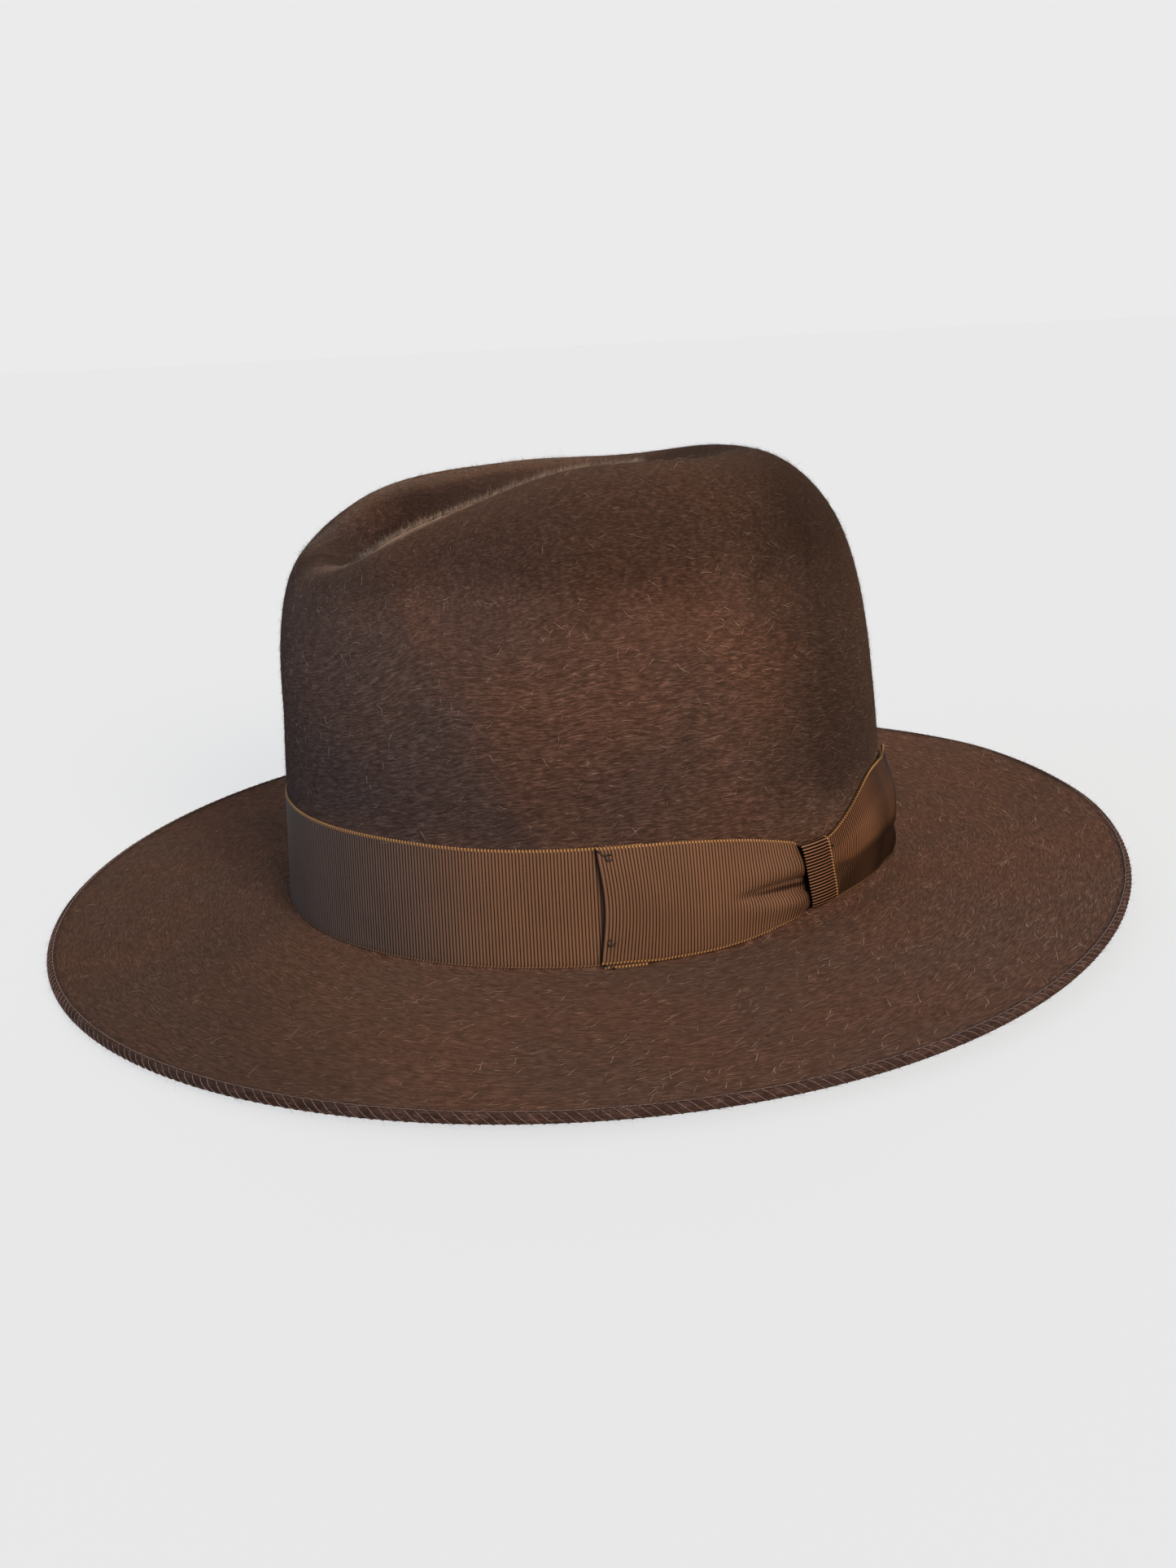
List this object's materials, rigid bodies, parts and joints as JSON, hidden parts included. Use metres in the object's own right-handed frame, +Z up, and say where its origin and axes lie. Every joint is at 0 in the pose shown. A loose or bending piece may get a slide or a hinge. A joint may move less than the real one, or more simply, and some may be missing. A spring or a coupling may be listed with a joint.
{
  "type": "fedora hat",
  "caption": "Brown fur felt fedora: creased crown with a front pinch, stitched snap brim, grosgrain band with a side bow, leather sweatband and lining.",
  "frame": {"origin": "on the surface that the hat stands on, at the middle of the brim's outline", "axes": "+Z up out of the crown; the front of the hat faces -Y; +X is the wearer's left, the side of the bow"},
  "size_m": [0.336, 0.361, 0.1438],
  "materials": {
    "felt": "brushed long-nap fur felt, dark chocolate brown",
    "edge_thread": "mauve-brown twisted thread",
    "grosgrain": "ribbed grosgrain ribbon, soft sheen",
    "dark_thread": "dark brown sewing thread",
    "sweatband_leather": "smooth fine-grained leather",
    "reed_plastic": "satin moulded cord",
    "woven_tape": "plain woven tape",
    "satin": "satin lining, soft gloss"
  },
  "bodies": {
    "root": {"felt_body": "felt", "brim_edge_thread": "edge_thread", "hat_band": "grosgrain", "bow_base": "grosgrain", "bow_front_loop": "grosgrain", "bow_rear_loop": "grosgrain", "bow_knot": "grosgrain", "bow_tacks": "dark_thread", "sweatband": "sweatband_leather", "sweatband_reed": "reed_plastic", "reed_tape": "woven_tape", "sweatband_stitches": "dark_thread", "sweatband_back_seam": "dark_thread", "sweatband_bow": "grosgrain", "lining_side": "satin", "lining_tip": "satin", "lining_piping": "satin"}
  },
  "joints": []
}
